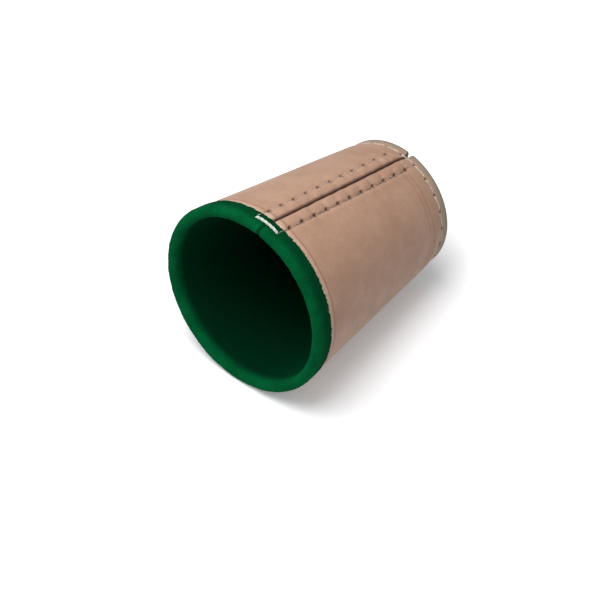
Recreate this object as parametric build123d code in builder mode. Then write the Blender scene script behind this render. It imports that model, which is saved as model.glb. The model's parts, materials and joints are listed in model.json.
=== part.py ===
from build123d import *
import os
from math import asin, cos, degrees, radians, sin, tan

# A leather dice cup lying on its side: a tapered wall of thick leather whose two edges are
# sewn down to a strip behind one straight seam, a felt lining turned over the mouth, and a
# dished leather base stitched in through the wall. Millimetres.
# The floor is z = 0, the mouth looks towards -Y, and the origin is under the middle.

# ---------------------------------------------------------------- leather wall
foot_radius = 28.3       # outer cone at the base end
mouth_radius = 39.0      # outer cone at the mouth end
wall_run = 93.6          # along the slope of the wall, base edge to rim crest
leather = 3.0            # thickness of the wall

# ---------------------------------------------------------------- felt
felt = 1.2               # thickness of the lining and its turned-over hem
hem_run = 8.2            # from the crest to the hem's cut edge
hem_proud = 0.3          # how far the hem stands out of the leather
floor_felt = 1.3         # thickness of the disc on the cup's floor
felt_joint_gap = 0.3     # where the lining's two edges meet

# ---------------------------------------------------------------- foot of the wall
waist_run = 4.0          # the base stitching, measured from the base edge
waist_depth = 0.4        # how far that stitching pulls the leather in
heel_run = 9.0           # above this the wall is straight
crease_runs = (11.0, 13.6)
crease_radius = 0.35
crease_depth = 0.25

# ---------------------------------------------------------------- base
recess = 7.0             # the base's underside stands this far up inside the wall
base_leather = 2.2       # thickness of the dished base and its flange
base_bend = 1.0          # inner radius between the base and its flange
board = 2.0              # thickness of the stiffening board

# ---------------------------------------------------------------- seam
seam_angle = 79.3        # round from +X towards the top
slit_width = 0.8
notch_width = 1.9        # where the seam's two corners part at the base edge
notch_run = 5.5
strip_margin = 2.7       # from each row to the strip's edge
strip_thickness = 1.0
strip_inset = 0.4        # the strip stops this far short of the skived edge's round

# ---------------------------------------------------------------- stitching
thread = 0.6             # diameter of the thread seen outside
thread_lift = 0.15       # how far a stitch stands out of its groove
bobbin_thread = 0.5      # diameter of the thread inside
hole_ease = 0.2          # an awl hole is wider than its two thread legs by this
groove_ease = 0.5        # the grooves that the stitches lie in are wider by this
leg_ease = 0.06          # from a hole's middle to each leg's near side
bend_ease = 0.15         # inner radius of a thread where it turns into a hole
row_offset = 5.3         # from the slit to each row
row_pitch = 7.15
row_start = 4.6          # from the crest to the first hole of a row
row_foot = 10.0          # a row's last hole stays at least this far from the base edge
cross_thread = 1.0       # diameter of the stitch across the seam at the mouth
cross_shift = 0.4        # its legs stand this far towards the crest in the end holes
cross_inset = 0.45       # and this far towards the slit
base_stitches = 24
base_shift = -3.0        # degrees from the seam to the middle of the stitch across it

glue_line = 0.05         # gap between faces that are glued or pressed together

# ---------------------------------------------------------------- frame
# The wall's slope is turned down onto the floor, so the hem lies flat on it. The base's top
# edge then stands further out than the foot of the wall by its rise.
lean = degrees(asin((mouth_radius - foot_radius) / wall_run))
slope_sin = sin(radians(lean))
slope_cos = cos(radians(lean))
edge_rise = (2 * foot_radius + hem_proud / slope_cos) * slope_sin
foot_y = (wall_run - edge_rise) / 2
cup = Plane(
    origin=(0, foot_y + foot_radius * slope_sin, hem_proud + foot_radius * slope_cos),
    x_dir=(1, 0, 0),
    z_dir=(0, -slope_cos, slope_sin),
)
cup_axis = Axis(cup.origin, cup.z_dir)
from_below = (Align.CENTER, Align.CENTER, Align.MIN)


def section(angle):
    """Plane through the cup's axis: x is the radius at that angle, y the height."""
    out = cup.x_dir * cos(radians(angle)) + cup.y_dir * sin(radians(angle))
    return Plane(origin=cup.origin, x_dir=out, z_dir=out.cross(cup.z_dir))


def wall_section(angle):
    """The same plane turned to the slope: x is out of the leather, y runs up the wall."""
    flat = section(angle)
    out = flat.x_dir * slope_cos - flat.y_dir * slope_sin
    return Plane(origin=flat.from_local_coords((foot_radius, 0)), x_dir=out, z_dir=flat.z_dir)


def wall_point(angle, run, depth=0.0):
    """A point so far up the wall, and so far below its outer cone."""
    return wall_section(angle).from_local_coords((-depth, run))


def wall_face(angle, run, depth=0.0):
    """Plane lying on the wall: z is out of the leather, y runs up the wall."""
    slope = wall_section(angle)
    across = slope.y_dir.cross(slope.x_dir)
    return Plane(origin=wall_point(angle, run, depth), x_dir=across, z_dir=slope.x_dir)


def inner_radius(height, depth):
    """Radius, at a height on the axis, of the face the given depth below the outer cone."""
    return foot_radius + height * tan(radians(lean)) - depth / slope_cos


def run_at(height, depth):
    """How far up the wall a point of that height and depth is."""
    return (height - depth * slope_sin) / slope_cos


def beside_seam(run, offset):
    """Angle of a point the given distance round the wall from the slit."""
    return seam_angle + degrees(offset / (foot_radius + run * slope_sin))


# ---------------------------------------------------------------- what fits what
base_top = recess + base_leather
board_top = base_top + board
floor_top = board_top + floor_felt

# The felt's crest is a half round over the half round edge of the skived leather.
rebate = felt - hem_proud
edge_radius = (leather - rebate) / 2
crest_radius = edge_radius + felt
crest_run = wall_run - crest_radius
crest_depth = rebate + edge_radius
hem_edge = wall_run - hem_run

strip_start = run_at(base_top, leather)
strip_end = crest_run - strip_inset
strip_width = 2 * (row_offset + strip_margin)

# A row's first hole takes the cross stitch as well as the row's own thread.
hole = 2 * thread + hole_ease
end_hole = hole + cross_thread
groove = thread + groove_ease
leg_gap = thread / 2 + leg_ease
thread_bend = thread / 2 + bend_ease
row_holes = int((wall_run - row_start - row_foot) / row_pitch) + 1

row_offsets = {"right": -row_offset, "left": row_offset}
row_runs = [wall_run - row_start - row_pitch * i for i in range(row_holes)]
base_pitch = 360 / base_stitches
base_angles = [seam_angle + base_shift + base_pitch * (i + 0.5) for i in range(base_stitches)]
base_turn = degrees(leg_gap / (foot_radius + waist_run * slope_sin))


def cut_holes(places, diameter, depth):
    """Round holes through the wall, from a depth inside it to clear of its outside."""
    with Locations(*[wall_face(angle, run, depth) for angle, run in places]):
        Cylinder(diameter / 2, depth + leather, align=from_below, mode=Mode.SUBTRACT)


def cut_row_holes(depth):
    for offset in row_offsets.values():
        places = [(beside_seam(run, offset), run) for run in row_runs]
        cut_holes(places[:1], end_hole, depth)
        cut_holes(places[1:], hole, depth)


def cut_row_grooves(depth):
    """A round-bottomed groove along each row, in the face at the given depth."""
    for offset in row_offsets.values():
        low = wall_point(beside_seam(row_runs[-1], offset), row_runs[-1], depth)
        high = wall_point(beside_seam(row_runs[0], offset), row_runs[0], depth)
        with Locations(Plane(origin=low, z_dir=high - low)):
            Cylinder(groove / 2, (high - low).length, align=from_below, mode=Mode.SUBTRACT)


def cut_base_holes(depth):
    cut_holes([(angle, waist_run) for angle in base_angles], hole, depth)


def cut_ring(run, depth, radius):
    """A round-bottomed groove all the way round the wall, in the face at that depth."""
    with BuildSketch(wall_section(0)) as ring:
        with Locations((-depth, run)):
            Circle(radius)
    revolve(ring.sketch, axis=cup_axis, mode=Mode.SUBTRACT)


def stitch(route, diameter, bends):
    """One stitch: a round thread along a route, bent where it goes into its holes."""
    with BuildLine() as path:
        FilletPolyline(*route, radius=bends)
    with BuildSketch(path.line ^ 0) as round_thread:
        Circle(diameter / 2)
    sweep(round_thread.sketch, path=path.line)


def sew_row(offset, diameter, depth, leg_depth):
    """The stitches of one row, lying at a depth, with legs to another depth."""
    for upper, lower in zip(row_runs, row_runs[1:]):
        ends = (upper - leg_gap, lower + leg_gap)
        top, bottom = [(beside_seam(run, offset), run) for run in ends]
        route = [
            wall_point(*top, leg_depth),
            wall_point(*top, depth),
            wall_point(*bottom, depth),
            wall_point(*bottom, leg_depth),
        ]
        stitch(route, diameter, thread_bend)


def sew_base(diameter, depth, leg_depth):
    """The stitches of the base ring, lying at a depth, with legs to another depth."""
    for angle in base_angles:
        first = angle + base_turn
        last = angle + base_pitch - base_turn
        route = [
            wall_point(first, waist_run, leg_depth),
            wall_point(first, waist_run, depth),
            wall_point((first + last) / 2, waist_run, depth),
            wall_point(last, waist_run, depth),
            wall_point(last, waist_run, leg_depth),
        ]
        stitch(route, diameter, (thread_bend, base_pitch, thread_bend))


def strip_layer(clearance):
    """The innermost layer of the wall's leather along the seam, as wide as the strip."""
    face_depth = leather - strip_thickness - clearance
    with BuildPart(mode=Mode.PRIVATE) as layer:
        with BuildSketch(wall_section(0)):
            with BuildLine():
                Polyline(
                    (-leather, strip_start - clearance),
                    (-face_depth, strip_start - clearance),
                    (-face_depth, strip_end + clearance),
                    (-leather, strip_end + clearance),
                    close=True,
                )
            make_face()
        revolve(axis=cup_axis)
        with BuildSketch(wall_face(seam_angle, wall_run / 2, 2 * leather)):
            Rectangle(strip_width + 2 * clearance, 2 * wall_run)
        extrude(amount=3 * leather, mode=Mode.INTERSECT)
    return layer.part


def write(piece, name):
    piece.part.label = name
    export_step(piece.part, f"parts/{name}.step")


os.makedirs("parts", exist_ok=True)

# ================================================================ leather wall
with BuildPart() as leather_wall:
    with BuildSketch(wall_section(0)):
        with BuildLine():
            Line((-leather, run_at(0, leather)), (hem_proud, run_at(0, -hem_proud)))
            Spline(
                (hem_proud, run_at(0, -hem_proud)),
                (-waist_depth, waist_run),
                (0, heel_run),
                tangents=((-waist_depth, waist_run), (0, 1)),
            )
            Polyline((0, heel_run), (0, hem_edge), (-rebate, hem_edge), (-rebate, crest_run))
            ThreePointArc(
                (-rebate, crest_run), (-crest_depth, crest_run + edge_radius), (-leather, crest_run)
            )
            Line((-leather, crest_run), (-leather, run_at(0, leather)))
        make_face()
    revolve(axis=cup_axis)
    for run in crease_runs:
        cut_ring(run, crease_depth - crease_radius, crease_radius)
    cut_ring(waist_run, waist_depth, groove / 2)
    add(strip_layer(glue_line), mode=Mode.SUBTRACT)
    # the slit, and the notch where its corners part
    with BuildSketch(wall_face(seam_angle, 0, 2 * leather)):
        with Locations((0, wall_run / 2)):
            Rectangle(slit_width, 2 * wall_run)
        with BuildLine():
            Polyline(
                (-notch_width / 2, -hem_proud), (notch_width / 2, -hem_proud), (0, notch_run), close=True
            )
        make_face()
    extrude(amount=3 * leather, mode=Mode.SUBTRACT)
    cut_row_holes(2 * leather)
    cut_row_grooves(0)
    cut_base_holes(leather + glue_line)
write(leather_wall, "leather_wall")

# ================================================================ strip behind the seam
with BuildPart() as seam_backing_strip:
    add(strip_layer(0))
    cut_row_holes(2 * leather)
    cut_row_grooves(leather)
write(seam_backing_strip, "seam_backing_strip")

# ================================================================ felt lining
lining_foot = run_at(floor_top, leather) + glue_line
lining_face = leather + glue_line
hem_face = rebate - glue_line
half_gap = degrees(felt_joint_gap / 2 / mouth_radius)
with BuildPart() as felt_lining:
    with BuildSketch(wall_section(seam_angle + half_gap)):
        with BuildLine():
            Polyline(
                (-crest_depth - crest_radius, crest_run),
                (-crest_depth - crest_radius, lining_foot),
                (-lining_face, lining_foot),
                (-lining_face, crest_run),
            )
            ThreePointArc(
                (-lining_face, crest_run),
                (-crest_depth, crest_run + edge_radius + glue_line),
                (-hem_face, crest_run),
            )
            Polyline(
                (-hem_face, crest_run),
                (-hem_face, hem_edge + glue_line),
                (hem_proud, hem_edge + glue_line),
                (hem_proud, crest_run),
            )
            ThreePointArc(
                (hem_proud, crest_run), (-crest_depth, wall_run), (-crest_depth - crest_radius, crest_run)
            )
        make_face()
    revolve(axis=cup_axis, revolution_arc=360 - 2 * half_gap)
    end_places = [(beside_seam(row_runs[0], offset), row_runs[0]) for offset in row_offsets.values()]
    cut_holes(end_places, end_hole, 3 * leather)
    cut_row_grooves(0)
write(felt_lining, "felt_lining")

# ================================================================ felt on the floor
with BuildPart() as felt_floor:
    with BuildSketch(section(0)):
        with BuildLine():
            Polyline(
                (0, board_top + glue_line),
                (inner_radius(board_top, leather) - glue_line, board_top + glue_line),
                (inner_radius(floor_top, leather) - glue_line, floor_top),
                (0, floor_top),
                close=True,
            )
        make_face()
    revolve(axis=cup_axis)
write(felt_floor, "felt_floor")

# ================================================================ stiffening board
with BuildPart() as base_board:
    with BuildSketch(section(0)):
        with BuildLine():
            Polyline(
                (0, base_top + glue_line),
                (inner_radius(base_top, leather) - glue_line, base_top + glue_line),
                (inner_radius(board_top, leather) - glue_line, board_top),
                (0, board_top),
                close=True,
            )
        make_face()
    revolve(axis=cup_axis)
write(base_board, "base_board")

# ================================================================ dished leather base
with BuildPart() as base_cap:
    with BuildSketch(section(0)) as base_profile:
        with BuildLine():
            Polyline(
                (0, recess),
                (inner_radius(recess, leather + base_leather), recess),
                (inner_radius(0, leather + base_leather), 0),
                (inner_radius(0, leather) - glue_line, 0),
                (inner_radius(base_top, leather) - glue_line, base_top),
                (0, base_top),
                close=True,
            )
        make_face()
        bend_corner = base_profile.vertices().group_by(cup_axis)[1].sort_by(Axis.X)[-1]
        fillet(bend_corner, base_bend)
    revolve(axis=cup_axis)
    cut_ring(waist_run, leather + base_leather, groove / 2)
    cut_base_holes(3 * leather)
write(base_cap, "base_cap")

# ================================================================ lockstitched rows
meeting = leather / 2
for side, offset in row_offsets.items():
    with BuildPart() as seam_thread:
        sew_row(offset, thread, thread / 2 - thread_lift, meeting - glue_line)
    write(seam_thread, f"seam_thread_{side}")
    with BuildPart() as seam_bobbin_thread:
        sew_row(offset, bobbin_thread, leather - bobbin_thread / 2, meeting + glue_line)
    write(seam_bobbin_thread, f"seam_bobbin_thread_{side}")

# ================================================================ stitch across the seam
with BuildPart() as rim_cross_stitch:
    cross_run = row_runs[0] + cross_shift
    cross_depth = -hem_proud - cross_thread / 2 - 3 * glue_line
    reach = row_offset - cross_inset
    right = beside_seam(cross_run, -reach)
    left = beside_seam(cross_run, reach)
    cross_route = [
        wall_point(right, cross_run, leather),
        wall_point(right, cross_run, cross_depth),
        wall_point(seam_angle, cross_run, cross_depth),
        wall_point(left, cross_run, cross_depth),
        wall_point(left, cross_run, leather),
    ]
    stitch(cross_route, cross_thread, (cross_thread, foot_radius / 2, cross_thread))
write(rim_cross_stitch, "rim_cross_stitch")

# ================================================================ stitches round the base
base_meeting = (waist_depth + leather + base_leather) / 2
with BuildPart() as base_thread:
    sew_base(thread, waist_depth + thread / 2 - thread_lift, base_meeting - glue_line)
write(base_thread, "base_thread")
with BuildPart() as base_bobbin_thread:
    sew_base(bobbin_thread, leather + base_leather - bobbin_thread / 2, base_meeting + glue_line)
write(base_bobbin_thread, "base_bobbin_thread")
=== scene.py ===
# %% [markdown]
# # A leather dice cup
# The cup lies on its side on a pale floor. The frame holds its CAD model: where every piece
# is, how thick the leather and the felt are, and where the holes were pierced. This lesson
# models what the hand and the eye would find on those pieces: leather that puffs between two
# rows of stitches, twisted thread, a felt lining that wraps the mouth, and a dished base.

# %% Load the frame
import json
from math import asin, atan2, cos, degrees, exp, hypot, pi, radians, sin, tan

import bmesh
import bpy
from mathutils import Matrix, Vector, noise


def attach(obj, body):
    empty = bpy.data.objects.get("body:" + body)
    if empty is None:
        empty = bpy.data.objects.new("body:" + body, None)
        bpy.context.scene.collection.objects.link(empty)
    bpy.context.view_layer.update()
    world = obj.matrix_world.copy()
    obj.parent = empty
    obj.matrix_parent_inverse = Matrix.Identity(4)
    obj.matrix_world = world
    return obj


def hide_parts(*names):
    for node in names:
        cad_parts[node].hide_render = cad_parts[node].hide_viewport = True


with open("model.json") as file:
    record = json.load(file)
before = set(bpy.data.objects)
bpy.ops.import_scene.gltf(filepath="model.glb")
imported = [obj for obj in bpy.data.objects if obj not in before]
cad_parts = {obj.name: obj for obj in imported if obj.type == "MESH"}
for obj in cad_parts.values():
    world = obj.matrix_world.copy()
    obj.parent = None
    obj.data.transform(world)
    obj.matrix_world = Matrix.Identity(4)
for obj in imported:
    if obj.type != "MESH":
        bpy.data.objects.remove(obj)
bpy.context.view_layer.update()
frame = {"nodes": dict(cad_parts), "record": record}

print("CAD nodes:", ", ".join(sorted(frame["nodes"])))

# %% [markdown]
# ## The cup's own frame
# The cup was made standing up, so its pieces are easiest to model standing up, in
# millimetres: z runs up the cup's axis from the base, and an angle goes round it. The base's
# resting face gives the direction of the axis, and the leather wall's highest and lowest
# points across that direction give its place. One matrix then lays each finished mesh down.

# %% Find the cup's axis
MM = 0.001
base_face = frame["record"]["mounts"][0]
axis = -Vector(base_face["axis"])
up = Vector((0, -axis.z * axis.y / abs(axis.y), abs(axis.y)))
lean = asin(axis.z)


def node_points(name):
    piece = bpy.data.objects[name]
    return [piece.matrix_world @ corner.co for corner in piece.data.vertices]


wall_points = node_points("leather_wall")
heights = [point.dot(up) for point in wall_points]
foot_height = min(point.dot(axis) for point in wall_points)
centre = up * (max(heights) + min(heights)) / 2 + axis * foot_height
cup_place = Matrix.Translation(centre) @ Matrix((
    (1, up.x, axis.x, 0), (0, up.y, axis.y, 0), (0, up.z, axis.z, 0), (0, 0, 0, 1)
)) @ Matrix.Scale(MM, 4)
print("lean", round(degrees(lean), 3), "base centre", [round(value, 5) for value in centre])

# %% [markdown]
# ## The sizes that the leather was cut to
# The wall is a blank rolled into a cone. A point on it has an angle, a run up the slope from
# the base edge, and a distance out of the leather. These are the sizes of the real pieces,
# in millimetres, as the CAD model has them.

# %% Sizes
foot_radius = 28.3
leather = 3.0
felt = 1.2
hem_run = 8.2
hem_proud = 0.3
wall_run = 93.6
waist_run = 4.0
waist_depth = 0.4
heel_run = 9.0
row_offset = 5.3
row_pitch = 7.15
row_start = 4.6
row_holes = 12
base_stitches = 24
hole_radius = 0.95
base_hole_radius = 0.78
rebate = felt - hem_proud
crest_radius = (leather - rebate) / 2 + felt
crest_depth = rebate + (leather - rebate) / 2
crest_run = wall_run - crest_radius
hem_edge = wall_run - hem_run
row_runs = [wall_run - row_start - row_pitch * number for number in range(row_holes)]
seam_angle = 79.3
base_shift = -3.0
base_pitch = 360 / base_stitches
base_angles = [seam_angle + base_shift + base_pitch * (number + 0.5) for number in range(base_stitches)]


def radius_at(run):
    return foot_radius + run * sin(lean)


def seam_at(run):
    """The seam wanders a little round the cup on its way up."""
    return seam_angle - 1.1 + 2.0 * run / wall_run


def on_wall(angle, run, out=0.0):
    """A point in the cup's own frame: degrees round, millimetres up the slope and out of it."""
    radius = radius_at(run) + out * cos(lean)
    turn = radians(angle)
    return Vector((radius * cos(turn), radius * sin(turn), run * cos(lean) - out * sin(lean)))


def beside_seam(run, across):
    """The angle of a point so far round the wall from the seam."""
    return seam_at(run) + degrees(across / radius_at(run))


def smooth(value, low, high):
    step = min(max((value - low) / (high - low), 0.0), 1.0)
    return step * step * (3 - 2 * step)


def wobble(x, y=0.0, z=0.0):
    """Gentle noise, about -1 to 1."""
    return noise.noise(Vector((x, y, z)))


# %% [markdown]
# ## Camera, floor and light
# The camera stands in front of the mouth, a little to its right, and looks down at about 44
# degrees. The key is a soft box high up and a little to the left, with a larger, weaker fill
# beside the camera, so the cup throws one soft shadow to the right. The floor's material adds
# a glow that only the camera sees, more of it further from the cup. That whitens the floor
# and ends the shadow sooner, and the cup isn't lit any more for it.

# %% Camera
camera_azimuth = radians(41.06)
camera_elevation = radians(44.16)
camera_distance = 653.9 * MM
camera_right = -7.8 * MM
camera_up = 4.7 * MM

camera_data = bpy.data.cameras.new("camera")
camera_data.lens = 96  # a long lens, so the far end of the cup shrinks only a little
camera_data.sensor_width = 36
camera_data.clip_start = 0.01
camera = bpy.data.objects.new("camera", camera_data)
bpy.context.scene.collection.objects.link(camera)
bpy.context.scene.camera = camera
view = Vector((
    -sin(camera_azimuth) * cos(camera_elevation),
    cos(camera_azimuth) * cos(camera_elevation),
    -sin(camera_elevation),
))
view_right = Vector((cos(camera_azimuth), sin(camera_azimuth), 0))
view_up = view_right.cross(view)
middle = centre + axis * wall_run * cos(lean) / 2 * MM
ground = Vector((middle.x, middle.y, 0))
camera.location = ground - view * camera_distance + view_right * camera_right + view_up * camera_up
camera.rotation_euler = view.to_track_quat("-Z", "Y").to_euler()

# %% Light
world = bpy.data.worlds.new("studio")
bpy.context.scene.world = world
world.use_nodes = True
world_nodes = world.node_tree.nodes
world_links = world.node_tree.links
background = world_nodes["Background"]
background.inputs["Color"].default_value = (0.94, 0.97, 1.0, 1)
light_path = world_nodes.new("ShaderNodeLightPath")
seen = world_nodes.new("ShaderNodeMath")
seen.operation = "MAXIMUM"
world_links.new(light_path.outputs["Is Camera Ray"], seen.inputs[0])
world_links.new(light_path.outputs["Is Glossy Ray"], seen.inputs[1])
strength = world_nodes.new("ShaderNodeMapRange")
strength.inputs["To Min"].default_value = 0.22
strength.inputs["To Max"].default_value = 1.0
world_links.new(seen.outputs[0], strength.inputs["Value"])
world_links.new(strength.outputs["Result"], background.inputs["Strength"])


def add_softbox(name, direction, distance, size, power):
    """A square area lamp that looks at the cup."""
    lamp = bpy.data.lights.new(name, "AREA")
    lamp.shape = "SQUARE"
    lamp.size = size
    lamp.energy = power
    softbox = bpy.data.objects.new(name, lamp)
    bpy.context.scene.collection.objects.link(softbox)
    softbox.location = middle + direction.normalized() * distance
    softbox.rotation_euler = (-direction).to_track_quat("-Z", "Y").to_euler()
    return softbox


add_softbox("key_softbox", -view_right * 0.30 - view * 0.26 + Vector((0, 0, 1.0)), 0.5, 0.38, 3.0)
add_softbox("fill_softbox", -view_right * 0.1 - view * 1.0 + Vector((0, 0, 0.15)), 1.1, 0.8, 1.9)
bpy.context.scene.view_settings.view_transform = "Standard"

# %% Floor
floor_mesh = bmesh.new()
bmesh.ops.create_grid(floor_mesh, x_segments=1, y_segments=1, size=3.0)
floor_data = bpy.data.meshes.new("floor")
floor_mesh.to_mesh(floor_data)
floor_mesh.free()
floor = bpy.data.objects.new("floor", floor_data)
bpy.context.scene.collection.objects.link(floor)

floor_material = bpy.data.materials.new("pale_floor")
floor_material.use_nodes = True
floor_nodes = floor_material.node_tree.nodes
floor_links = floor_material.node_tree.links
floor_nodes.remove(floor_nodes["Principled BSDF"])
paint = floor_nodes.new("ShaderNodeBsdfDiffuse")
paint.inputs["Color"].default_value = (0.93, 0.935, 0.95, 1)
lift = floor_nodes.new("ShaderNodeEmission")
lift.inputs["Color"].default_value = (1, 1, 1, 1)
floor_path = floor_nodes.new("ShaderNodeLightPath")
floor_place = floor_nodes.new("ShaderNodeTexCoord")
floor_reach = floor_nodes.new("ShaderNodeVectorMath")
floor_reach.operation = "LENGTH"
floor_links.new(floor_place.outputs["Object"], floor_reach.inputs[0])
floor_glow = floor_nodes.new("ShaderNodeMapRange")
floor_glow.interpolation_type = "SMOOTHSTEP"
floor_glow.inputs["From Min"].default_value = 0.05
floor_glow.inputs["From Max"].default_value = 0.165
floor_glow.inputs["To Min"].default_value = 0.19
floor_glow.inputs["To Max"].default_value = 0.95
floor_links.new(floor_reach.outputs["Value"], floor_glow.inputs["Value"])
floor_seen = floor_nodes.new("ShaderNodeMath")
floor_seen.operation = "MULTIPLY"
floor_links.new(floor_glow.outputs["Result"], floor_seen.inputs[1])
floor_links.new(floor_path.outputs["Is Camera Ray"], floor_seen.inputs[0])
floor_links.new(floor_seen.outputs[0], lift.inputs["Strength"])
both = floor_nodes.new("ShaderNodeAddShader")
floor_links.new(paint.outputs[0], both.inputs[0])
floor_links.new(lift.outputs[0], both.inputs[1])
floor_links.new(both.outputs[0], floor_nodes["Material Output"].inputs["Surface"])
floor_data.materials.append(floor_material)
print("camera", [round(value, 3) for value in camera.location])

# %% [markdown]
# ## Helpers for every material
# A material here is a Principled BSDF with a few textures. `add` places a node and `join`
# wires two sockets, so each recipe below reads as a short list. What more than one leather
# or felt needs, such as grain, is a node group that is made once.

# %% Node helpers


class Recipe:
    """A node tree with short ways to add nodes and wires."""

    def __init__(self, tree):
        self.tree = tree

    def add(self, kind, **settings):
        node = self.tree.nodes.new("ShaderNode" + kind)
        for name, value in settings.items():
            setattr(node, name, value)
        return node

    def join(self, output, target):
        self.tree.links.new(output, target)

    def noise(self, vector, scale, detail=3.0, roughness=0.5):
        node = self.add("TexNoise")
        node.inputs["Scale"].default_value = scale
        node.inputs["Detail"].default_value = detail
        node.inputs["Roughness"].default_value = roughness
        self.join(vector, node.inputs["Vector"])
        return node.outputs["Fac"]

    def math(self, operation, first, second):
        node = self.add("Math", operation=operation)
        for socket, value in zip(node.inputs, (first, second)):
            if isinstance(value, (int, float)):
                socket.default_value = value
            else:
                self.join(value, socket)
        return node.outputs[0]

    def spread(self, value, low, high, to_low=0.0, to_high=1.0):
        node = self.add("MapRange", interpolation_type="SMOOTHSTEP")
        node.inputs["From Min"].default_value = low
        node.inputs["From Max"].default_value = high
        node.inputs["To Min"].default_value = to_low
        node.inputs["To Max"].default_value = to_high
        self.join(value, node.inputs["Value"])
        return node.outputs["Result"]

    def blend(self, amount, first, second, mode="MIX"):
        node = self.add("Mix", data_type="RGBA", blend_type=mode)
        sockets = (node.inputs[0], node.inputs[6], node.inputs[7])
        for socket, value in zip(sockets, (amount, first, second)):
            if isinstance(value, (int, float, tuple)):
                socket.default_value = value
            else:
                self.join(value, socket)
        return node.outputs[2]

    def bump(self, height, distance, strength=1.0, normal=None):
        node = self.add("Bump")
        node.inputs["Distance"].default_value = distance
        node.inputs["Strength"].default_value = strength
        self.join(height, node.inputs["Height"])
        if normal is not None:
            self.join(normal, node.inputs["Normal"])
        return node.outputs["Normal"]

    def attribute(self, name):
        return self.add("Attribute", attribute_name=name).outputs["Fac"]

    def object_coordinates(self):
        return self.add("TexCoord").outputs["Object"]


def new_material(name, roughness, **constants):
    """A material, its recipe and its Principled BSDF, with constants on its own sockets."""
    material = bpy.data.materials.new(name)
    material.use_nodes = True
    shader = material.node_tree.nodes["Principled BSDF"]
    shader.inputs["Roughness"].default_value = roughness
    for socket, value in constants.items():
        shader.inputs[socket.replace("_", " ")].default_value = value
    return material, Recipe(material.node_tree), shader


def new_group(name, inputs, outputs):
    """A shader node group with named sockets, and its recipe and ends."""
    group = bpy.data.node_groups.new(name, "ShaderNodeTree")
    for label, kind, value in inputs:
        socket = group.interface.new_socket(name=label, in_out="INPUT", socket_type="NodeSocket" + kind)
        if value is not None:
            socket.default_value = value
    for label, kind in outputs:
        group.interface.new_socket(name=label, in_out="OUTPUT", socket_type="NodeSocket" + kind)
    recipe = Recipe(group)
    return group, recipe, recipe.tree.nodes.new("NodeGroupInput"), recipe.tree.nodes.new("NodeGroupOutput")


def place_group(recipe, group, vector, **values):
    node = recipe.add("Group")
    node.node_tree = group
    recipe.join(vector, node.inputs["Vector"])
    for label, value in values.items():
        node.inputs[label].default_value = value
    return node


# %% [markdown]
# ## Leather
# Vegetable-tanned leather is smooth but never even: the hide takes the tan in soft clouds,
# fine pores cover it, and long shallow lines run where the skin once stretched. One group
# makes all three, and each leather on the cup takes its own colours from it.

# %% Leather grain group
grain, grain_recipe, grain_in, grain_out = new_group(
    "leather_grain",
    [("Vector", "Vector", None), ("Fineness", "Float", 1.0)],
    [("Clouds", "Float"), ("Pores", "Float"), ("Height", "Float")],
)
scaled = grain_recipe.add("VectorMath", operation="SCALE")
grain_recipe.join(grain_in.outputs["Vector"], scaled.inputs[0])
grain_recipe.join(grain_in.outputs["Fineness"], scaled.inputs["Scale"])
clouds = grain_recipe.noise(scaled.outputs[0], 85, 5, 0.6)
pores = grain_recipe.add("TexVoronoi", feature="F1")
pores.inputs["Scale"].default_value = 1500
grain_recipe.join(scaled.outputs[0], pores.inputs["Vector"])
pore_field = grain_recipe.spread(pores.outputs["Distance"], 0.1, 0.6)
skin = grain_recipe.noise(scaled.outputs[0], 700, 5, 0.65)
swell = grain_recipe.noise(scaled.outputs[0], 150, 3, 0.5)
height = grain_recipe.math("ADD", grain_recipe.math("MULTIPLY", pore_field, 0.35), skin)
height = grain_recipe.math("ADD", height, grain_recipe.math("MULTIPLY", swell, 1.4))
grain_recipe.join(clouds, grain_out.inputs["Clouds"])
grain_recipe.join(pore_field, grain_out.inputs["Pores"])
grain_recipe.join(height, grain_out.inputs["Height"])


# %% Leather materials
def leather_material(name, light, dark, roughness, pit_shade_colour=(0.032, 0.011, 0.006, 1)):
    """Grain leather: clouds between two tans, pores a touch darker, painted shade nearly black in the awl holes and
    the slit.
    """
    material, recipe, shader = new_material(
        name, roughness, Specular_IOR_Level=0.4, Sheen_Weight=0.14, Sheen_Roughness=0.4
    )
    hide = place_group(recipe, grain, recipe.object_coordinates(), Fineness=1.0)
    colour = recipe.blend(recipe.spread(hide.outputs["Clouds"], 0.25, 0.7, 0.25, 1.0), dark, light)
    colour = recipe.blend(recipe.math("MULTIPLY", hide.outputs["Pores"], 0.10), colour, dark)
    # darker along the base creases and the skive line; along the stitch rows it is painted shade in the valleys
    crease_darkening = recipe.math("MULTIPLY", recipe.attribute("crease"), 0.75)
    colour = recipe.blend(crease_darkening, colour, (0.20, 0.085, 0.05, 1))
    skived = recipe.math("MULTIPLY", recipe.attribute("pale"), 0.7)
    colour = recipe.blend(skived, colour, (0.56, 0.41, 0.30, 1))
    speckle = recipe.noise(recipe.object_coordinates(), 760, 5, 0.8)
    colour = recipe.blend(recipe.spread(speckle, 0.35, 0.7, 0.0, 0.55), colour, dark)
    worn = recipe.math("MULTIPLY", recipe.attribute("worn"), 0.9)
    colour = recipe.blend(worn, colour, (0.17, 0.165, 0.13, 1))
    # painted shade: the awl holes and the slit are darkened nearly to black
    colour = recipe.blend(recipe.attribute("pit_and_shade"), colour, pit_shade_colour)
    recipe.join(colour, shader.inputs["Base Color"])
    rough = recipe.spread(hide.outputs["Clouds"], 0.25, 0.75, roughness + 0.08, roughness - 0.06)
    recipe.join(rough, shader.inputs["Roughness"])
    recipe.join(recipe.bump(hide.outputs["Height"], 0.00012, 0.55), shader.inputs["Normal"])
    return material


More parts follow.
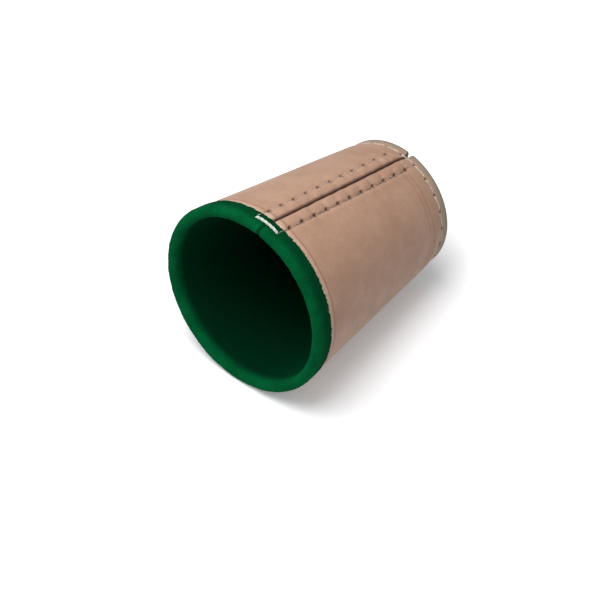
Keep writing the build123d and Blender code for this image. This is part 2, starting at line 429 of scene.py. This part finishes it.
wall_leather = leather_material("natural_leather", (0.435, 0.260, 0.176, 1), (0.332, 0.186, 0.117, 1), 0.62)
base_leather = leather_material("base_leather", (0.40, 0.245, 0.17, 1), (0.31, 0.18, 0.118, 1), 0.66)
# The backing strip is given a dark brown: painted shade for the strip seen deep in the slit.
strip_leather_in_painted_shade = leather_material("strip_leather_in_painted_shade", (0.11, 0.05, 0.03, 1), (0.06, 0.028, 0.016, 1), 0.8)

# %% Raw cut leather edge
raw_edge, edge_recipe, edge_shader = new_material("raw_leather_edge", 0.9, Specular_IOR_Level=0.2)
edge_place = edge_recipe.object_coordinates()
fibre = edge_recipe.noise(edge_place, 900, 6, 0.7)
edge_tone = edge_recipe.noise(edge_place, 160, 3)
edge_colour = edge_recipe.blend(edge_recipe.spread(fibre, 0.3, 0.7), (0.23, 0.145, 0.10, 1), (0.40, 0.28, 0.20, 1))
edge_colour = edge_recipe.blend(edge_recipe.math("MULTIPLY", edge_tone, 0.3), edge_colour, (0.20, 0.12, 0.08, 1))
edge_recipe.join(edge_colour, edge_shader.inputs["Base Color"])
edge_recipe.join(edge_recipe.bump(fibre, 0.0003, 0.8), edge_shader.inputs["Normal"])
print("leathers:", wall_leather.name, base_leather.name, strip_leather_in_painted_shade.name, raw_edge.name)

# %% [markdown]
# ## Felt
# Felt is matted wool. Close up it is short fibres lying every way, so its colour breaks up
# in fine specks and its edge glows a little against the light, which is what sheen does. The
# felt is lighter on the crest of the mouth than on the hem, and inside the cup and on its
# floor it is painted nearly black as shade.

# %% Felt group and material
nap, nap_recipe, nap_in, nap_out = new_group(
    "felt_nap", [("Vector", "Vector", None)], [("Specks", "Float"), ("Patches", "Float"), ("Height", "Float")]
)
specks = nap_recipe.noise(nap_in.outputs["Vector"], 2600, 4, 0.7)
patches = nap_recipe.noise(nap_in.outputs["Vector"], 120, 3, 0.6)
tufts = nap_recipe.noise(nap_in.outputs["Vector"], 800, 5, 0.7)
nap_recipe.join(specks, nap_out.inputs["Specks"])
nap_recipe.join(patches, nap_out.inputs["Patches"])
nap_recipe.join(nap_recipe.math("ADD", specks, tufts), nap_out.inputs["Height"])

felt_material, felt_recipe, felt_shader = new_material(
    "green_felt", 0.95, Specular_IOR_Level=0.02, Sheen_Weight=0.08, Sheen_Roughness=0.6,
    Sheen_Tint=(0.0, 0.5, 0.2, 1),
)
felt_nap = place_group(felt_recipe, nap, felt_recipe.object_coordinates())
felt_colour = felt_recipe.blend(
    felt_recipe.spread(felt_nap.outputs["Patches"], 0.3, 0.7), (0.0003, 0.050, 0.0125, 1), (0.0006, 0.080, 0.022, 1)
)
felt_colour = felt_recipe.blend(
    felt_recipe.spread(felt_nap.outputs["Specks"], 0.42, 0.75, 0.0, 0.85), felt_colour, (0.002, 0.135, 0.045, 1)
)
# painted shade: where the tone mask is low the felt goes nearly black, inside the cup and on its floor; the hem is a
# little darker than the crest
felt_colour = felt_recipe.blend(felt_recipe.attribute("felt_tone_and_shade"), (0.0001, 0.017, 0.0068, 1), felt_colour)
felt_recipe.join(felt_colour, felt_shader.inputs["Base Color"])
felt_recipe.join(felt_recipe.bump(felt_nap.outputs["Height"], 0.00025, 0.9), felt_shader.inputs["Normal"])


# %% Thread and board materials
def thread_material(name, light, dark):
    material, recipe, shader = new_material(name, 0.7, Specular_IOR_Level=0.3, Sheen_Weight=0.2)
    place = recipe.object_coordinates()
    strands = recipe.noise(place, 2200, 4, 0.6)
    grime = recipe.noise(place, 240, 3, 0.6)
    colour = recipe.blend(recipe.spread(strands, 0.3, 0.7), dark, light)
    colour = recipe.blend(recipe.spread(grime, 0.45, 0.65, 0.0, 0.7), colour, dark)
    recipe.join(colour, shader.inputs["Base Color"])
    recipe.join(recipe.bump(strands, 0.00008, 0.7), shader.inputs["Normal"])
    return material


beige_thread = thread_material("beige_thread", (0.44, 0.36, 0.29, 1), (0.20, 0.14, 0.105, 1))
cream_thread = thread_material("cream_thread", (0.70, 0.64, 0.56, 1), (0.38, 0.30, 0.23, 1))
# The left row's thread is given a paler beige than the right row's.
paler_row_thread = thread_material("paler_beige_thread", (0.56, 0.46, 0.38, 1), (0.34, 0.25, 0.19, 1))
white_thread = thread_material("white_thread", (0.64, 0.68, 0.61, 1), (0.42, 0.46, 0.39, 1))

board_material, board_recipe, board_shader = new_material("grey_board", 0.9)
board_pulp = board_recipe.noise(board_recipe.object_coordinates(), 600, 5, 0.7)
board_recipe.join(
    board_recipe.blend(board_pulp, (0.30, 0.28, 0.24, 1), (0.46, 0.43, 0.38, 1)), board_shader.inputs["Base Color"]
)
board_recipe.join(board_recipe.bump(board_pulp, 0.0002, 0.6), board_shader.inputs["Normal"])


# %% Finish helper
def finish(mesh, name, materials, nodes):
    """Lay a mesh down in the row frame, give it its finish, and let it stand for CAD nodes."""
    mesh.transform(cup_place)
    data = bpy.data.meshes.new(name)
    mesh.to_mesh(data)
    mesh.free()
    for polygon in data.polygons:
        polygon.use_smooth = True
    for material in materials:
        data.materials.append(material)
    piece = bpy.data.objects.new(name, data)
    bpy.context.scene.collection.objects.link(piece)
    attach(piece, "root")
    if nodes:
        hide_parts(*nodes)
    print(name, len(data.polygons), "faces")
    return piece


# %% [markdown]
# ## The leather wall
# A leatherworker cuts the wall flat and then rolls it up, and so does this cell. The blank is
# one grid: its columns are close together beside the two edges that meet in the seam, where
# the leather is puffed and pierced, and wider round the rest. Round each awl hole the grid is
# divided again. Then the faces are extruded for thickness, and each point is rolled up into
# the cone and moved in or out by what the sewing does to the leather there.

# %% Where the columns and rows of the blank go
fine_step = 0.45
fine_columns = 22
round_columns = 112
slit_half = 0.44
back_half = 0.2
notch_half = 0.95
notch_run = 5.5
edge_round = 0.42
foot_round = 1.1
wall_top = crest_run + 0.5
row_step = 0.55
blank_rows = round(wall_top / row_step)
columns = 2 * fine_columns + round_columns


def slit_edge(run, side):
    """Half the slit, which wavers a little and opens into the notch at the base."""
    waver = 0.24 * wobble(run * 0.22, side * 3.0) + 0.16 * wobble(run * 0.7, side * 5.0)
    return slit_half + waver + (notch_half - slit_half) * (1 - smooth(run, -1.0, notch_run))


def column_place(column, run):
    """Where a column of the blank crosses a run: the angle from the seam, in radians."""
    radius = radius_at(run)
    if column <= fine_columns:
        return (slit_edge(run, 1) + column * fine_step) / radius
    if column >= columns - fine_columns:
        return 2 * pi - (slit_edge(run, -1) + (columns - column) * fine_step) / radius
    first = (slit_edge(run, 1) + fine_columns * fine_step) / radius
    last = 2 * pi - (slit_edge(run, -1) + fine_columns * fine_step) / radius
    return first + (last - first) * (column - fine_columns) / round_columns


base_places = [(angle - seam_angle) % 360 for angle in base_angles]
print("awl holes:", 2 * len(row_runs) + len(base_places))

# %% [markdown]
# Sewing shapes the leather. The thread pulls each row down into a valley, deepest at the
# holes, and the leather between the row and the slit puffs up, pinched again at every hole.
# The slit's edges roll over. At the foot the base stitching draws a waist round the cup, and
# the base presses two creases into the outside.

# %% What sewing does to the surface
def hole_distance(turn, across, run):
    """Distance to the nearest awl hole in hole radii, and that radius in millimetres."""
    if run < 1.8 * waist_run:
        gap = min(abs((degrees(turn) - angle + 180) % 360 - 180) for angle in base_places)
        distance = hypot(radians(gap) * radius_at(run), run - waist_run)
        return distance / base_hole_radius, base_hole_radius
    if abs(abs(across) - row_offset) < 3:
        nearest = min(hypot(abs(across) - row_offset, run - hole) for hole in row_runs)
        return nearest / hole_radius, hole_radius
    return 9.0, hole_radius


def row_pinch(run):
    """1 at a hole of a row, fading out within two millimetres of it."""
    gap = (run - row_runs[-1] + row_pitch / 2) % row_pitch - row_pitch / 2
    return exp(-(gap / 1.5) ** 2)


def foot_profile(run):
    """The waist and the flared edge below the straight wall."""
    if run > heel_run:
        return 0.0
    if run > waist_run:
        return -waist_depth * (1 - smooth(run, waist_run, heel_run))
    return -waist_depth + (hem_proud + waist_depth) * (1 - run / waist_run) ** 2


puff_height = 0.72
valley_half = 0.5
valley_depth = 0.26
pinch_depth = 0.34
base_creases = ((11.0, 0.24), (12.3, 0.09), (13.6, 0.20))  # run, depth
skive_below_hem = 2.3
skive_half = 0.3
waist_groove = 0.30
pit_depth = 1.9


def surface(turn, across, run):
    """How far the leather stands out at a point, and how much painted shade its awl hole gets."""
    out = foot_profile(run)
    if run < foot_round:
        out -= foot_round * (1 - (1 - (1 - run / foot_round) ** 2) ** 0.5)
    side = abs(across)
    edge = slit_edge(run, 1 if across > 0 else -1)
    in_rows = smooth(run, row_runs[-1] - 4.0, row_runs[-1] - 1.0)
    in_rows *= 1 - smooth(run, hem_edge - 0.5, hem_edge + 2)
    pinch = row_pinch(run)
    line = row_offset + 0.30 - 0.45 * pinch
    inner = (side - edge) / (line - edge)
    if 0 <= inner <= 1:
        pillow = sin(pi * inner ** 0.8) ** 0.6
        gather = puff_height - 0.55 * pinch * (0.25 + 0.75 * inner)
        crumple = 0.25 * wobble(run * 0.42, across * 0.5, 2.0) + 0.16 * wobble(run * 1.1, across * 0.9, 5.0)
        out += pillow * (gather + crumple) * in_rows
    valley = exp(-((side - line) / valley_half) ** 2)
    out -= (valley_depth + pinch_depth * pinch) * valley * in_rows
    out += 0.25 * exp(-((side - line - 2.0) / 1.3) ** 2) * in_rows * (1 - 0.5 * pinch)
    rolled = 1 - smooth(side - edge, 0.0, edge_round * 1.6)
    out -= edge_round * rolled ** 2 * (1 + 0.25 * wobble(run * 0.9, 8.0))
    for crease, depth in base_creases:
        wander = 0.25 * wobble(turn * 3.0, crease)
        out -= depth * exp(-((run - crease - wander) / 0.28) ** 2) * (1 - valley)
    skived = run - hem_edge + skive_below_hem + 0.2 * wobble(turn * 5.0, 3.0)
    out -= 0.16 * exp(-(skived / skive_half) ** 2)
    out -= 0.10 * smooth(run, hem_edge - 2.2, hem_edge - 0.2)
    stitch_waist = exp(-((run - waist_run) / 0.6) ** 2)
    out -= waist_groove * stitch_waist
    distance, pierced = hole_distance(turn, across, run)
    out -= 0.3 * pierced * exp(-(distance / 1.8) ** 2)
    pit_and_shade = 1 - smooth(distance, 0.55, 1.1)
    out -= pit_depth * pierced * pit_and_shade
    out += 0.12 * wobble(2 * cos(turn), 2 * sin(turn), run * 0.045) * smooth(run, 8, 20)
    return out, pit_and_shade


# %% Cut the blank
blank = bmesh.new()
turn_layer = blank.verts.layers.float.new("turn")
run_layer = blank.verts.layers.float.new("run")
pit_shade_layer = blank.verts.layers.float.new("pit_and_shade")
crease_darkening_layer = blank.verts.layers.float.new("crease")
pale_layer = blank.verts.layers.float.new("pale")
worn_layer = blank.verts.layers.float.new("worn")
bmesh.ops.create_grid(blank, x_segments=columns, y_segments=blank_rows, size=1.0)
for corner in blank.verts:
    column = round((corner.co.x + 1) / 2 * columns)
    run = (corner.co.y + 1) / 2 * wall_top
    corner[run_layer] = run
    corner[turn_layer] = column_place(column, run)
    corner.co = Vector((corner[turn_layer] * foot_radius, run, 0))


def across_at(turn, run):
    """Signed distance from the seam: positive on its left, negative on its right."""
    return radius_at(run) * (turn if turn < pi else turn - 2 * pi)


for reach in (2.2, 1.6):
    near = [
        edge for edge in blank.edges
        if min(
            hole_distance(c[turn_layer], across_at(c[turn_layer], c[run_layer]), c[run_layer])[0] for c in edge.verts
        ) < reach
    ]
    bmesh.ops.subdivide_edges(blank, edges=near, cuts=1, use_grid_fill=True)
print("blank:", len(blank.faces), "faces")

# %% Thicken it and roll it up
outer_faces = list(blank.faces)
thick = bmesh.ops.extrude_face_region(blank, geom=outer_faces, use_keep_orig=True)
inner_corners = {item for item in thick["geom"] if isinstance(item, bmesh.types.BMVert)}
for corner in blank.verts:
    turn = corner[turn_layer]
    run = corner[run_layer]
    across = across_at(turn, run)
    angle = seam_at(run) + degrees(turn)
    if corner in inner_corners:
        edge = slit_edge(run, 1 if across > 0 else -1)
        close = (edge - back_half) * (1 - smooth(abs(across) - edge, 0.0, 1.5))
        close *= smooth(run, notch_run, notch_run + 2)
        angle -= degrees(close / radius_at(run)) * (1 if across > 0 else -1)
        corner.co = on_wall(angle, run, -leather)
        # painted shade on the slit's inner face
        corner[pit_shade_layer] = 0.5 * (abs(across) < edge + 0.1)
        continue
    out, pit_and_shade = surface(turn, across, run)
    tuck = smooth(run, hem_edge + 0.5, hem_edge + 1.1)
    out = out * (1 - tuck) - (rebate + 0.1) * tuck
    corner.co = on_wall(angle, run, out)
    side = abs(across) - slit_edge(run, 1 if across > 0 else -1)
    # Painted shade: the awl holes are darkened, those of the left row less because light falls into them, and the
    # slit's edges are darkened too.
    shade = 1 if across < 0 or run < row_runs[-1] - 2 else 0.7
    corner[pit_shade_layer] = max(pit_and_shade * shade, 0.6 * (1 - smooth(side, 0.0, 0.25)))
    corner[worn_layer] = max(0.45 * (1 - smooth(run, 2.4, 4.4)), 1 - smooth(run, 1.3, 2.3))
    crease_darkening_amount = exp(-((run - hem_edge + skive_below_hem + 0.2 * wobble(turn * 5.0, 3.0)) / 0.32) ** 2)
    for crease in (11.0, 13.6):
        crease_darkening_amount += 0.55 * exp(-((run - crease - 0.25 * wobble(turn * 3.0, crease)) / 0.35) ** 2)
    # painted shade along each stitch row's valley
    crease_darkening_amount += 0.35 * exp(-((abs(across) - row_offset) / 0.5) ** 2) * (run > row_runs[-1])
    corner[crease_darkening_layer] = min(1.0, crease_darkening_amount)
    corner[pale_layer] = smooth(run, hem_edge - 1.9, hem_edge - 1.2) * (0.75 + 0.5 * wobble(turn * 9.0, 1.0))
for face in blank.faces:
    face.material_index = int(all(corner[run_layer] < 0.01 for corner in face.verts))
print("open edges in the wall:", sum(edge.is_boundary for edge in blank.edges))
bmesh.ops.recalc_face_normals(blank, faces=blank.faces)
finish(blank, "wall_of_leather", [wall_leather, raw_edge], ["leather_wall"])

# %% [markdown]
# ## The felt lining
# The lining is a closed ring of felt: up the inside, over the mouth and down the outside to
# a cut edge. Its section is drawn once and spun round the cup. Scissors leave the cut edge
# ragged, the two ends of the felt meet at the seam in a small valley, and the cross stitch
# bites into the hem.

# %% The lining's section
floor_top = 12.5
floor_run = (floor_top - (leather + felt) * sin(lean)) / cos(lean)
crest_steps = 10
inside_rows = 90
hem_rows = 14
lining_steps = 600
glue_gap = 0.02


def spun(section, steps):
    """Spin a closed section, given as points of (out, run), into a ring about the cup's axis."""
    ring = bmesh.new()
    corners = [ring.verts.new(on_wall(0, run, out)) for out, run in section]
    edges = [ring.edges.new(pair) for pair in zip(corners, corners[1:] + corners[:1])]
    bmesh.ops.spin(
        ring, geom=corners + edges, cent=(0, 0, 0), axis=(0, 0, 1), angle=2 * pi, steps=steps, use_merge=True
    )
    bmesh.ops.recalc_face_normals(ring, faces=ring.faces)
    return ring


inside_out = -crest_depth - crest_radius
felt_section = [
    (inside_out, floor_run + (crest_run - floor_run) * step / inside_rows)
    for step in range(inside_rows)
]
for step in range(crest_steps + 1):
    bend_angle = pi * step / crest_steps
    felt_section.append((-crest_depth - crest_radius * cos(bend_angle), crest_run + crest_radius * sin(bend_angle)))
felt_section += [
    (hem_proud, crest_run + (hem_edge - crest_run) * step / hem_rows)
    for step in range(1, hem_rows + 1)
]
felt_section += [(-rebate + glue_gap, hem_edge), (-rebate + glue_gap, crest_run)]
felt_section += [(-crest_depth, crest_run + crest_radius - felt)]
felt_section += [(-leather - glue_gap, crest_run), (-leather - glue_gap, floor_run)]
lining = spun(felt_section, lining_steps)

# %% Fluff and trim the felt
felt_tone_and_shade_layer = lining.verts.layers.float.new("felt_tone_and_shade")
for corner in lining.verts:
    point = corner.co.copy()
    angle = degrees(atan2(point.y, point.x))
    radius = hypot(point.x, point.y)
    run = (radius - foot_radius) * sin(lean) + point.z * cos(lean)
    out = (radius - foot_radius) * cos(lean) - point.z * sin(lean)
    shown = out > hem_proud - 0.05 or run > crest_run + crest_radius - felt + 0.1 or out < -leather - 0.5
    if not shown and run < hem_edge + 0.01 and out > -leather + 0.5:
        run += 0.1
    turn = radians(angle)
    fluff = 0.10 * wobble(30 * cos(turn), 30 * sin(turn), run * 0.9)
    fluff += 0.05 * wobble(point.x * 1.7, point.y * 1.7, point.z * 1.7)
    soft = 0.18 * wobble(4 * cos(turn), 4 * sin(turn), run * 0.1)
    across = radians((angle - seam_at(run) + 180) % 360 - 180) * radius_at(run)
    if shown:
        grow = smooth(run, floor_run, floor_run + 3)
        out_sign = 1 if out > -crest_depth else -1
        out += out_sign * fluff * grow + soft * grow
        if run > crest_run:
            run += fluff + 0.12 * wobble(9 * cos(turn), 9 * sin(turn), 4.0)
    if run < hem_edge + 1.2 and out > -crest_depth:
        ragged = 0.45 + 0.85 * wobble(46 * cos(turn), 46 * sin(turn), 7.0)
        ragged += 0.5 * wobble(17 * cos(turn), 17 * sin(turn), 3.0)
        run += ragged * (1 - smooth(run, hem_edge, hem_edge + 1.2))
        if shown:
            frayed = 0.6 + 0.8 * abs(wobble(60 * cos(turn), 60 * sin(turn)))
            out -= 0.30 * (1 - smooth(run, hem_edge - 0.4, hem_edge + 0.7)) * frayed
    if shown and out > -crest_depth - crest_radius - 0.5 and run > hem_edge - 1:
        dip = exp(-(across / 0.5) ** 2) * smooth(run, hem_edge - 1, crest_run)
        out -= 0.55 * dip * (1 if out > -crest_depth else -1)
        run -= 0.7 * dip * smooth(run, crest_run, wall_run)
        bite = exp(-((run - row_runs[0] - 0.4) / 0.8) ** 2)
        bite *= 1 - smooth(abs(across), row_offset, row_offset + 1.2)
        out -= 0.25 * bite * (out > -crest_depth)
    corner.co = on_wall(angle, run, out)
    # Lighter on the crest and darker on the hem; inside the cup painted shade, nearly black; darker at the felt's
    # joint.
    if out > -crest_depth:
        felt_tone_and_shade = 0.3 + 0.7 * smooth(run, crest_run - 3.0, crest_run + 1.8)
    else:
        felt_tone_and_shade = smooth(run, crest_run - 3.5, crest_run + 0.8)
    joint = exp(-(across / 0.5) ** 2)
    corner[felt_tone_and_shade_layer] = felt_tone_and_shade * (1 - 0.9 * joint)
finish(lining, "lining_of_felt", [felt_material], ["felt_lining"])

# %% Felt on the cup's floor
# The disc has no tone mask, so its felt takes the painted shade colour, nearly black.
disc_rings = 16
disc_segments = 96
disc_radius = foot_radius + (floor_top - 1.3) * tan(lean) - leather / cos(lean) - 0.05
disc = bmesh.new()
bmesh.ops.create_circle(disc, cap_ends=True, segments=disc_segments, radius=disc_radius)
rim = list(disc.faces)
for ring_number in range(disc_rings):
    bmesh.ops.inset_region(
        disc, faces=rim, thickness=disc_radius / (disc_rings + 2), use_boundary=True, use_even_offset=True
    )
thick = bmesh.ops.extrude_face_region(disc, geom=list(disc.faces), use_keep_orig=True)
top_corners = {item for item in thick["geom"] if isinstance(item, bmesh.types.BMVert)}
for corner in disc.verts:
    if corner in top_corners:
        corner.co.z = floor_top + 0.08 * wobble(corner.co.x * 0.5, corner.co.y * 0.5) - 0.06
    else:
        corner.co.z = floor_top - 1.25
bmesh.ops.recalc_face_normals(disc, faces=disc.faces)
finish(disc, "floor_of_felt", [felt_material], ["felt_floor"])

# %% [markdown]
# ## The dished base
# The base is a leather disc pressed into a shallow dish, so its flange stands against the
# inside of the wall where the stitches go through both. Its section is spun like the felt's,
# with a soft bend between disc and flange and a slight swell in the middle.

# %% Base
recess = 7.0
base_thickness = 2.2
bend = 1.6
bend_steps = 6
dish_steps = 240
swell_radius = 22


def inner_wall(height, depth):
    return foot_radius + height * tan(lean) - depth / cos(lean)


dish = bmesh.new()
cap_depth = leather + base_thickness
cap_top = recess + base_thickness
flat_radius = inner_wall(recess, cap_depth) - bend
bend_arc = []
for step in range(1, bend_steps + 1):
    bend_angle = step * pi / 2 / bend_steps
    bend_arc.append((flat_radius + bend * sin(bend_angle), recess - bend + bend * cos(bend_angle)))
flange = [
    (inner_wall(height, cap_depth), height)
    for height in [(recess - bend) * (1 - step / 10) for step in range(1, 10)]
]
rolled_edge = [(inner_wall(0, cap_depth) + 0.1, 0.35), (inner_wall(0, cap_depth) + 0.45, 0.02)]
outer = [(inner_wall(0, leather) - 0.05, 0.0), (inner_wall(cap_top, leather) - 0.05, cap_top)]
under = [(step * flat_radius / 14, recess) for step in range(15)]
profile = under + bend_arc + flange + rolled_edge + outer + [(0, cap_top)]
corners = [dish.verts.new((radius, 0, height)) for radius, height in profile]
edges = [dish.edges.new(pair) for pair in zip(corners, corners[1:])]
bmesh.ops.spin(
    dish, geom=corners + edges, cent=(0, 0, 0), axis=(0, 0, 1), angle=2 * pi, steps=dish_steps, use_merge=True
)
bmesh.ops.remove_doubles(dish, verts=dish.verts, dist=0.001)
bmesh.ops.recalc_face_normals(dish, faces=dish.faces)
dish_pit_shade = dish.verts.layers.float.new("pit_and_shade")
for corner in dish.verts:
    radius = hypot(corner.co.x, corner.co.y)
    height = corner.co.z
    turn = degrees(atan2(corner.co.y, corner.co.x))
    if height < recess + 0.1 and radius < inner_wall(recess, cap_depth) - 0.5:
        corner.co.z -= 0.35 * max(0, 1 - (radius / swell_radius) ** 2)
        corner.co.z += 0.10 * wobble(corner.co.x * 0.25, corner.co.y * 0.25, 1.0)
    elif radius < inner_wall(height, cap_depth) + 0.3 and height < recess:
        nearest = min(
            hypot(radians(abs((turn - angle + 180) % 360 - 180)) * radius, height - waist_run) for angle in base_angles
        )
        groove = exp(-((height - waist_run) / 0.7) ** 2)
        depth = 0.18 * groove + 0.25 * exp(-(nearest / 1.0) ** 2)
        corner.co.x *= 1 + depth / radius
        corner.co.y *= 1 + depth / radius
        # painted shade in the base stitch holes
        corner[dish_pit_shade] = 1 - smooth(nearest, 0.35, 0.8)
finish(dish, "dish_of_leather", [base_leather], ["base_cap"])

# %% [markdown]
# ## Thread
# Sewing thread is plies twisted round each other, which is why a stitch catches the light in
# slanting beads. Each stitch is a path: up out of one hole, along the leather, down into the
# next. Every ply is a curve that winds round that path, and a round bevel makes it solid.

# %% Twisted stitches
def path_points(route, spacing=0.22):
    """Even points along a route whose corners have been softened."""
    curve = bpy.data.curves.new("route", "CURVE")
    curve.dimensions = "3D"
    spline = curve.splines.new("NURBS")
    spline.points.add(len(route) - 1)
    for point, place in zip(spline.points, route):
        point.co = (*place, 1)
    spline.order_u = 3
    spline.use_endpoint_u = True
    spline.resolution_u = 10
    holder = bpy.data.objects.new("route", curve)
    line = bpy.data.meshes.new_from_object(holder)
    places = [vertex.co.copy() for vertex in line.vertices]
    bpy.data.objects.remove(holder)
    bpy.data.curves.remove(curve)
    bpy.data.meshes.remove(line)
    even = [places[0]]
    carried = 0.0
    for start, end in zip(places, places[1:]):
        length = (end - start).length
        reach = spacing - carried
        while reach <= length:
            even.append(start.lerp(end, reach / length))
            reach += spacing
        carried = length - (reach - spacing)
    even.append(places[-1])
    return even


def add_twisted(curve, route, diameter, plies, lay, phase=0.0):
    """Wind plies round a route, one full turn for each lay."""
    places = path_points(route)
    ply_radius = diameter / 2 / (1 + 1 / sin(pi / plies)) * (1.25 if plies > 2 else 1.15)
    wind_radius = diameter / 2 - ply_radius
    travelled = 0.0
    frames = []
    side = Vector((0.31, 0.52, 0.79))
    for number, place in enumerate(places):
        ahead = places[min(number + 1, len(places) - 1)] - places[max(number - 1, 0)]
        ahead.normalize()
        side = (side - ahead * side.dot(ahead)).normalized()
        if number:
            travelled += (place - places[number - 1]).length
        frames.append((place, side.copy(), ahead.cross(side), travelled))
    for ply in range(plies):
        spline = curve.splines.new("POLY")
        spline.points.add(len(frames) - 1)
        for point, (place, first, second, distance) in zip(spline.points, frames):
            turn = 2 * pi * (distance / lay + ply / plies) + phase
            spot = place + (first * cos(turn) + second * sin(turn)) * wind_radius
            point.co = (*spot, 1)
            point.radius = ply_radius


def thread_piece(name, build, material, nodes):
    """Make one mesh out of the curves that a build function winds."""
    curve = bpy.data.curves.new(name, "CURVE")
    curve.dimensions = "3D"
    curve.bevel_depth = 1.0
    curve.bevel_resolution = 1
    curve.use_fill_caps = True
    build(curve)
    holder = bpy.data.objects.new(name + "_curve", curve)
    data = bpy.data.meshes.new_from_object(holder)
    bpy.data.objects.remove(holder)
    mesh = bmesh.new()
    mesh.from_mesh(data)
    bpy.data.meshes.remove(data)
    bmesh.ops.recalc_face_normals(mesh, faces=mesh.faces)
    return finish(mesh, name, [material], nodes)


thread = 0.48
base_thread = 0.64
inside_thread = 0.6
cross_thread = 1.25
leg_gap = 0.62
base_leg_gap = 0.58


def level_beside(across, run):
    """How far out the leather is there."""
    return surface(across / radius_at(run) % (2 * pi), across, run)[0]


def sew_row(side):
    """The stitches of one row, each sagging a little into its valley."""
    def build(curve):
        for upper, lower in zip(row_runs, row_runs[1:]):
            top = upper - leg_gap
            bottom = lower + leg_gap
            high = max(level_beside(side * row_offset, upper - 1.0), hem_proud if upper > hem_edge else -1)
            low = level_beside(side * row_offset, lower + 1.0)
            half = (upper + lower) / 2
            places = [
                (top, -1.9), (top, high - 0.9), (top - 0.1, high - 0.1), (top - 0.5, high + 0.14),
                (half + 1.2, level_beside(side * row_offset, half + 1.2) + 0.16),
                (half - 1.2, level_beside(side * row_offset, half - 1.2) + 0.16),
                (bottom + 0.5, low + 0.14), (bottom + 0.1, low - 0.1), (bottom, low - 0.9), (bottom, -1.9),
            ]
            route = [
                on_wall(beside_seam(run, side * (row_offset + 0.12) + 0.15 * wobble(run, side)), run, out)
                for run, out in places
            ]
            add_twisted(curve, route, thread, 2, 1.3, phase=upper)
    return build


def sew_base(curve):
    step = 360 / base_stitches
    turn_gap = degrees(base_leg_gap / radius_at(waist_run))
    level = -waist_depth - waist_groove
    for angle in base_angles:
        first = angle + turn_gap
        last = angle + step - turn_gap
        places = [
            (first, -2.0), (first, level - 0.6), (first + 1.2, level + 0.22), (first + 3.5, level + 0.20),
            ((first + last) / 2, level + 0.02), (last - 2.5, level + 0.05), (last - 1.2, level + 0.12),
            (last, level - 0.6), (last, -2.0),
        ]
        route = [on_wall(turn, waist_run + 0.25 * wobble(turn * 0.3), out) for turn, out in places]
        add_twisted(curve, route, base_thread, 2, 1.7, phase=angle)


def sew_base_inside(curve):
    step = 360 / base_stitches
    turn_gap = degrees(base_leg_gap / radius_at(waist_run))
    level = -leather - base_thickness - 0.05
    for angle in base_angles:
        first = angle + turn_gap
        last = angle + step - turn_gap
        places = [
            (first, level + 1.4), (first, level + 0.4), (first + 1.0, level), ((first + last) / 2, level - 0.02),
            (last - 1.0, level), (last, level + 0.4), (last, level + 1.4),
        ]
        route = [on_wall(turn, waist_run, out) for turn, out in places]
        add_twisted(curve, route, inside_thread, 2, 1.6, phase=angle)


def sew_across(curve):
    run = row_runs[0] + 0.4
    reach = row_offset - 0.1
    places = [
        (-reach, -2.0), (-reach, -0.3), (-reach + 0.5, 0.55), (0, 0.80),
        (reach - 0.5, 0.55), (reach, -0.3), (reach, -2.0),
    ]
    route = [on_wall(beside_seam(run, across), run, out) for across, out in places]
    add_twisted(curve, route, cross_thread, 3, 6.0)


thread_piece("row_stitches_right", sew_row(-1), beige_thread, ["seam_thread_right"])
thread_piece("row_stitches_left", sew_row(1), paler_row_thread, ["seam_thread_left"])
thread_piece("base_stitches", sew_base, cream_thread, ["base_thread"])
thread_piece("base_stitches_inside", sew_base_inside, cream_thread, ["base_bobbin_thread"])
thread_piece("cross_stitch", sew_across, white_thread, ["rim_cross_stitch"])

# %% Finish the CAD pieces that stay
for name, material in (
    ("seam_backing_strip", strip_leather_in_painted_shade),
    ("base_board", board_material),
    ("seam_bobbin_thread_right", cream_thread),
    ("seam_bobbin_thread_left", cream_thread),
):
    piece = bpy.data.objects[name]
    if not piece.material_slots:
        piece.data.materials.append(material)
    for material_slot in piece.material_slots:
        material_slot.material = material
